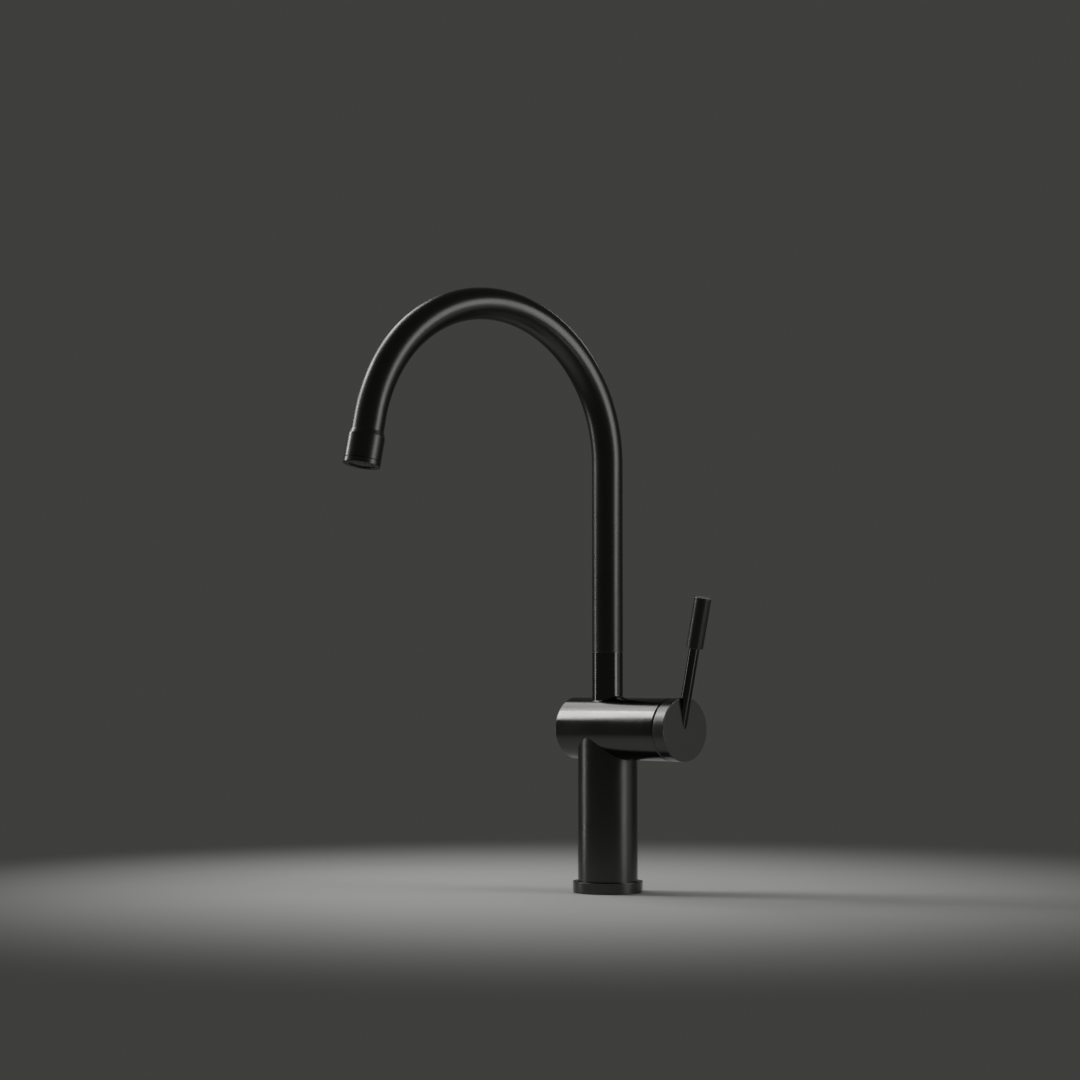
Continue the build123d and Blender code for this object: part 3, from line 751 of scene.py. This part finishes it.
past_neck = (1 + sink) * to_neck + run_on * (lean * to_neck - to_housing) / np.sin(sweep)
corner = closing_reach * unit(to_neck + to_housing)
points = ball + fillet * np.concatenate([past_housing[None], arc, past_neck[None], corner[None]])
brazing = skin_of(points, points, np.zeros(len(points)))
make_piece("neck_fillet", brazing, black_fine, "black_metal", "body")

# %% [markdown]
# ## The line of the gooseneck
# One long tube is bent round a former, so its section stays round and its centre line is two
# straight runs joined by an arc. A curve object with a bevel would draw it too, but here the wall
# is carried along the formula of the line, so that hairlines can be laid by true length.

# %% Line of the spout
spout_turn = math.radians(-4.2)
spout_foot = 168.25
spout_rise = 132.9
bend_radius = 104.3
bend_angle = math.radians(168.5)
outlet_run = 33.8


def swung(points):
    """Points turned about Z from square to where the spout stands."""
    c, s = math.cos(spout_turn), math.sin(spout_turn)
    return points @ np.array([[c, s, 0], [-s, c, 0], [0, 0, 1]])


def spout_wall(radius, turn, length):
    """Point on the tube: the centre line at a length, plus radius times (cos turn across, sin turn
    out of the bend). The line climbs, turns by length / bend radius, then runs on straight."""
    climb = np.minimum(length, spout_rise)
    bent = np.clip((length - spout_rise) / bend_radius, 0, bend_angle)
    past = np.maximum(length - spout_rise - bend_radius * bend_angle, 0)
    out = radius * np.sin(turn)
    x = radius * np.cos(turn)
    y = bend_radius * (np.cos(bent) - 1) - past * np.sin(bent) + out * np.cos(bent)
    z = spout_foot + climb + bend_radius * np.sin(bent) + past * np.cos(bent) + out * np.sin(bent)
    return swung(np.stack(np.broadcast_arrays(x, y, z), -1))


tube_end = 13.0
spout_length = spout_rise + bend_radius * bend_angle + outlet_run - tube_end
print("the spout's line is", round(spout_length), "mm long")

# %% [markdown]
# ## Spout tube
# The tube's wall is a closed profile like that of any ring, only carried along the bent line
# instead of round a straight axis. Its radius is a few hundredths of a millimetre under the
# neck's: such a step shows at the joint of two real tubes, and the bend stays in its measured box.

# %% Spout tube
spout_radius, spout_bore = tube_radius - 0.035, 9.8
spout_start, spout_step, spout_sides = -0.2, 2.2, 112  # starts low, to narrow the seam
rounded_wall = softened(
    [
        (spout_bore, spout_length, 0.15),
        (spout_bore, spout_start, 0.15),
        (spout_radius, spout_start, 0.10),
        (spout_radius, spout_length, 0.15),
    ]
)
line, edge = refined(*rounded_wall, spout_step)
turns, radius, length = even_turns(spout_sides), line[:, :1], line[:, 1:]
spout = skin_of(spout_wall(radius, turns, length), laid(radius, turns, length), edge)
make_piece("gooseneck_tube", spout, black_tube, "black_metal", "spout", "spout_tube")

# %% [markdown]
# ## Nozzle collar
# A slightly wider collar is pushed over the tube's end and flared where it meets the tube. It
# could be a second width of the tube itself, but the flare and the seam are those of a piece of
# its own. It is turned about the outlet's axis, which is read from the end of the spout's line.

# %% Nozzle collar
outlet_up = np.array([0, math.sin(bend_angle), -math.cos(bend_angle)])
bend_back = bend_radius * (math.cos(bend_angle) - 1)
bend_height = spout_foot + spout_rise + bend_radius * math.sin(bend_angle)
outlet_point = np.array([0, bend_back, bend_height]) - outlet_run * outlet_up
outlet_across = np.array([1.0, 0, 0])
outlet = stand(swung(outlet_point), swung(outlet_across), swung(outlet_up))
nozzle_radius, collar_thread = 12.5, 10.4
collar_foot, collar_top = 3.7, 23.0
flare_foot, flare_radius, flare_rounding = 19.5, 11.45, 1.6
collar_bore, collar_bevel = tube_radius + press_gap, 0.1
collar = turned_ring(
    outlet,
    [
        (collar_bore, collar_top - collar_bevel, 0.05),
        (collar_bore, tube_end, 0.08),
        (collar_thread, tube_end, 0.08),
        (collar_thread, collar_foot, 0.10),
        (nozzle_radius, collar_foot, 0.18),
        (nozzle_radius, flare_foot, flare_rounding),
        (flare_radius, collar_top, 0.14),
    ],
    step=0.8,
)
make_piece("nozzle_sleeve", collar, black_tube, "black_metal", "spout", "nozzle_collar")

# %% [markdown]
# ## Aerator ring
# The aerator screws into the collar, and a fine groove between the two lets a finger find it. The
# groove is simply the gap between two rounded edges. Inside the ring's lip sits the perforated
# insert, which has its holes in the measured model already and only needed a finish.

# %% Aerator ring
aerator_bore, aerator_head, aerator_shoulder = 9.3, 11.4, 3.4
lip_bore, lip_height = 8.5, 1.0
aerator_thread = collar_thread - press_gap
aerator = turned_ring(
    outlet,
    [
        (aerator_bore, aerator_head, 0.12),
        (aerator_bore, lip_height, 0.12),
        (lip_bore, lip_height, 0.12),
        (lip_bore, 0.0, 0.20),
        (nozzle_radius, 0.0, 0.45),
        (nozzle_radius, aerator_shoulder, 0.18),
        (aerator_thread, aerator_shoulder, 0.10),
        (aerator_thread, aerator_head, 0.15),
    ],
)
make_piece("aerator_shell", aerator, black_tube, "black_metal", "spout", "aerator_ring")

# %% [markdown]
# ## Lever cap
# The cap closes the housing's front. Its back is hollowed to a ball just larger than the housing's
# edge, so that it tilts over that edge with an even gap, and a boss in its middle grips the stem of
# the cartridge. A disc would look the same at rest, but the hollow shows when the lever is raised.
# Under the cap a small plug hides the clamping screw, so that wall is pierced too.

# %% Lever cap
cap_face, cap_edge, cap_hollow = 74.306, 64.644, 72.76
cap_dome = 28.965
boss_radius, boss_back = 7.0, 60.0
pad_radius, pad_back = 10.19, 67.55
plug_place, plug_hole, plug_depth = 68.49, 2.06, 0.6
cap = turned_plug(
    valve,
    [
        (0, boss_back, 0),
        (boss_radius, boss_back, 0.3),
        (boss_radius, pad_back, 0.2),
        (pad_radius, pad_back, 0.2),
        (pad_radius, cap_hollow, 0.2),
        *ball_zone(cap_dome, 25.5, 48.0, 8),
        (housing_radius, cap_edge, 0.10),
        (housing_radius, cap_face, 0.42),
        (0, cap_face, 0),
    ],
    sides=160,
    step=0.9,
)
cap = pierced(cap, 1.5 * math.pi, plug_place, plug_hole, plug_depth, reach=3.3, lip=0.12)
make_piece("cap_shell", cap, black_cap, "black_metal", "lever", "lever_cap")

# %% [markdown]
# ## Lever rod
# A thin rod is let into the cap's flat face at a slant, so that only a pointed sliver shows where
# it starts. That point could be cut to shape, but where two solids cross the eye sees the same
# line, so the rod simply runs on into the cap.

# %% Lever rod
lever_lean = math.radians(13.2)
rod_radius, rod_setback = 3.7, 3.9
rod_tail, rod_top = -3.0, 87.3
rod_along = (math.sin(lever_lean), 0, math.cos(lever_lean))
rod = stand((cap_face - rod_setback, 0, valve_height), (0, 1, 0), rod_along)
rod_bar = turned_plug(
    rod,
    [
        (0, rod_tail, 0),
        (rod_radius, rod_tail, 0.15),
        (rod_radius, rod_top, 0.15),
        (0, rod_top, 0),
    ],
    sides=64,
    step=4.0,
)
make_piece("lever_bar", rod_bar, black_fine, "black_metal", "lever", "lever_rod")

# %% [markdown]
# ## Grip
# Fingers need more than the thin rod, so a sleeve is pressed on its top. One thicker turn of the
# rod would do from afar, but the real sleeve has its own bore, edges and duller finish, and its
# lower edge throws a fine shadow on the rod.

# %% Grip
grip_radius, grip_foot, grip_top = 5.85, 57.3, 92.3
grip_bore, bore_end = rod_radius + press_gap, rod_top + press_gap
grip = turned_plug(
    rod,
    [
        (0, bore_end, 0),
        (grip_bore, bore_end, 0.05),
        (grip_bore, grip_foot, 0.12),
        (grip_radius, grip_foot, 0.45),
        (grip_radius, grip_top, 0.45),
        (0, grip_top, 0),
    ],
    sides=96,
    step=4.0,
)
make_piece("grip_sleeve", grip, black_grip, "black_metal", "lever", "lever_grip")

# %% [markdown]
# ## Threaded stud
# Under the deck a stud pulls the faucet down by a plate and a nut. A thread could be a swept
# helix, but it is also a formula of turn and height: the wall rises and falls once per pitch, and
# a full turn shifts it by one pitch. The ends fade to the core, as a cut thread's do.

# %% Threaded stud
stud_offset, stud_foot, stud_head = 12, -50.5, 14.5
stud_rows, stud_sides = 460, 40
thread_pitch, thread_core, stud_radius = 1.25, 3.4, 4.0
flank_slope, root_width, fade_length = 1.35, 0.15, 0.9

stud = stand((stud_offset, 0, 0), (1, 0, 0), (0, 0, 1))
height = np.linspace(stud_foot, stud_head, stud_rows)[:, None]
turns = even_turns(stud_sides)
phase = np.mod(height / thread_pitch - turns / (2 * np.pi), 1)
crest = np.clip(flank_slope * np.abs(2 * phase - 1) - root_width, 0, 1)
from_foot = np.clip((height - stud_foot) / fade_length, 0, 1)
from_head = np.clip((stud_head - height) / fade_length, 0, 1)
radius = thread_core + (stud_radius - thread_core) * crest * from_foot * from_head
lay = laid(radius, turns, height)
poles = place(stud, np.zeros(2), np.zeros(2), np.array([stud_foot, stud_head]))
thread = skin_of(place(stud, radius, turns, height), lay, np.zeros(len(height)), poles)
make_piece("stud_thread", thread, steel, "steel", "body", "mounting_stud")

# %% [markdown]
# ## Clamp nut
# The nut is a slice of hexagonal bar, faced and chamfered on a lathe. A hexagon with bevelled
# edges would miss the curved lines where the chamfer cuts the flats. Here the wall is the smaller
# of a hexagon and a cone at every turn and height, and those lines come by themselves.

# %% Clamp nut
nut_foot, nut_head, half_flats, nut_sides = -42.5, -36.0, 6.5, 96
cone_start, cone_slope = 6.3, 1.75
nut_bore, bore_mouth, mouth_depth = stud_radius + press_gap, 4.5, 0.5

turns = even_turns(nut_sides)
hexagon = half_flats / np.cos(np.mod(turns + np.pi / 6, np.pi / 3) - np.pi / 6)
from_end = np.array([0.0, 0.1, 0.4, 0.8, 1.2, 2.0])
cone = cone_start + cone_slope * np.append(from_end, from_end[::-1])[:, None]
wall = np.minimum(hexagon, cone)
wall_height = np.append(nut_foot + from_end, nut_head - from_end[::-1])
bore = np.array([bore_mouth, nut_bore, nut_bore, bore_mouth])[:, None] + 0 * turns
bore_height = [nut_head, nut_head - mouth_depth, nut_foot + mouth_depth, nut_foot]
radius = np.vstack([bore, wall])
height = np.append(bore_height, wall_height)[:, None]
lay = laid(radius, turns, height)
nut = skin_of(place(stud, radius, turns, height), lay, np.zeros(len(height)))
make_piece("nut_hexagon", nut, brass, "brass", "body", "clamp_nut")

# %% [markdown]
# ## Room
# Black metal needs something to be black against, so the faucet stands in a plain dark grey room.
# The camera sees that grey as it is written. The metal also mirrors the lighter walls behind the
# camera, so for all other rays the room is two and a half times as strong.

# %% Room
room_colour = (0.049, 0.049, 0.0465, 1)
room_gain = 2.5
room = Finish(bpy.data.worlds.new("room"), "Background")
seen = room.node("ShaderNodeLightPath", {}, {}, "Is Camera Ray")
room.feed(room.shader, {"Color": room_colour, "Strength": room_gain - (room_gain - 1) * seen})
bpy.context.scene.world = room.owner
print("room:", room.owner.name)

# %% [markdown]
# ## Floor
# The floor is a pale disc that fades out into the room. Its colour is a painted pool of light:
# pale round the faucet and darker with distance, painted into the floor rather than cast by the
# lamps. Beyond the fade it shows the camera the room's own colour and lets all other rays through,
# so there is no horizon, low lights still reach the foot, and what hangs below the deck stays
# hidden. A floor as pale as the metal needs to mirror would outshine a black faucet, so the camera
# is shown a greyer one: painted shade over the floor's tone, for the camera alone.

# %% Floor
floor_rings = np.array([50, 200, 500, 1000, 1500, 2000, 2500, 3000])[:, None]
floor_level, floor_sides = -0.2, 96
floor_light, floor_dark = (0.80, 0.80, 0.795, 1), (0.75, 0.75, 0.745, 1)
fade_start, fade_end = 0.10, 0.60  # in metres, as shaders measure
painted_shade_share = 0.6  # of the floor's tone, from the camera alone: painted shade
black = (0, 0, 0, 1)

ring_points = place(upright, floor_rings, even_turns(floor_sides), np.array(floor_level))
floor_points = np.vstack([ring_points.reshape(-1, 3), [(0, 0, floor_level)]])
inner_ring = np.arange(floor_sides)
centre = np.full(floor_sides, len(floor_points) - 1)
centre_fan = np.stack([inner_ring, np.roll(inner_ring, -1), centre], 1)
floor_cells = grid_cells(len(floor_rings), floor_sides, False)[..., ::-1].reshape(-1, 4)
floor_faces = floor_cells.tolist() + centre_fan.tolist()
floor_mesh = bpy.data.meshes.new("floor")
floor_mesh.from_pydata((floor_points * MM).tolist(), [], floor_faces)
floor = bpy.data.objects.new("floor", floor_mesh)
bpy.context.scene.collection.objects.link(floor)

pale = Finish(bpy.data.materials.new("pale_floor"))
spot = pale.object_place()
distance = pale.node("ShaderNodeVectorMath", {"operation": "LENGTH"}, {0: spot}, "Value")
mottle = pale.noise(spot, (9, 9, 9), 3.0)
near = pale.blend(mottle, floor_dark, floor_light)
# Painted pool of light: the floor's colour goes from pale round the faucet to the room's colour
# between fade_start and fade_end.
painted_pool_fade = pale.between(distance, fade_start, fade_end)
seen = pale.node("ShaderNodeLightPath", {}, {}, "Is Camera Ray")
# Painted shade: the camera sees the near floor at four tenths of its tone, darker than the floor
# that the metal mirrors.
toned = pale.blend(painted_shade_share * seen, near, black)
pale.feed(
    pale.shader,
    {
        "Base Color": pale.blend(painted_pool_fade, toned, black),
        "Emission Color": pale.blend(painted_pool_fade, black, room_colour),
        "Emission Strength": 1.0,
        "Specular IOR Level": 0.0,
        "Roughness": 0.85,
        "Alpha": 1 - painted_pool_fade * (1 - seen),
    },
)
floor_mesh.materials.append(pale.owner)
print("floor of", len(floor_mesh.polygons), "faces")

# %% [markdown]
# ## Soft lights
# Metal shows lamps rather than light: each line on a tube is the mirror image of a soft box, so a
# box stands where that line looks. On the left a key in three steps gives the graded band on the
# housing, and a tall strip the thin line on every tube. On the right two fills give the broad
# grey lines. A rim edges the shoulder, and two dim cards fill the cap's face and the lever.
# Brightness is set as radiance, the light that metal can mirror, and power follows from it as pi
# times area times radiance. At this level a flat colour renders about as it is written.

# %% Soft lights
aim_point = Vector((0, -0.05, 0.22))


def softbox(name, direction, distance, width, height, radiance):
    """Rectangle of light that faces the faucet, with a power of pi times area times radiance."""
    lamp = bpy.data.lights.new(name, "AREA")
    lamp.shape = "RECTANGLE"
    lamp.size = width
    lamp.size_y = height
    lamp.energy = math.pi * width * height * radiance
    box = bpy.data.objects.new(name, lamp)
    bpy.context.scene.collection.objects.link(box)
    towards = Vector(direction).normalized()
    box.location = aim_point + distance * towards
    box.rotation_euler = towards.to_track_quat("Z", "Y").to_euler()
    box.visible_camera = False
    print(name, "gives", round(lamp.energy, 1), "watts")


softbox("key_light", (-0.700, -0.404, 0.448), 1.3, 0.34, 0.62, 18.0)
softbox("key_step_1", (-0.704, -0.196, 0.683), 1.3, 0.28, 0.45, 10.0)
softbox("key_step_2", (-0.704, 0.080, 0.705), 1.3, 0.46, 0.45, 6.75)
softbox("side_strip", (-0.863, -0.500, 0.04), 1.3, 0.16, 0.90, 10.0)
softbox("fill_light", (0.803, 0.502, 0.320), 1.5, 0.75, 0.62, 5.75)
softbox("low_fill", (0.925, 0.374, -0.010), 3.0, 0.94, 0.84, 5.7)
softbox("rim_light", (-0.412, 0.807, 0.420), 1.5, 0.50, 0.20, 1.6)
softbox("card_light", (0.68, 0.73, -0.14), 1.6, 0.60, 0.50, 0.75)
softbox("lever_card", (0.913, 0.152, -0.378), 1.6, 0.50, 0.22, 2.2)
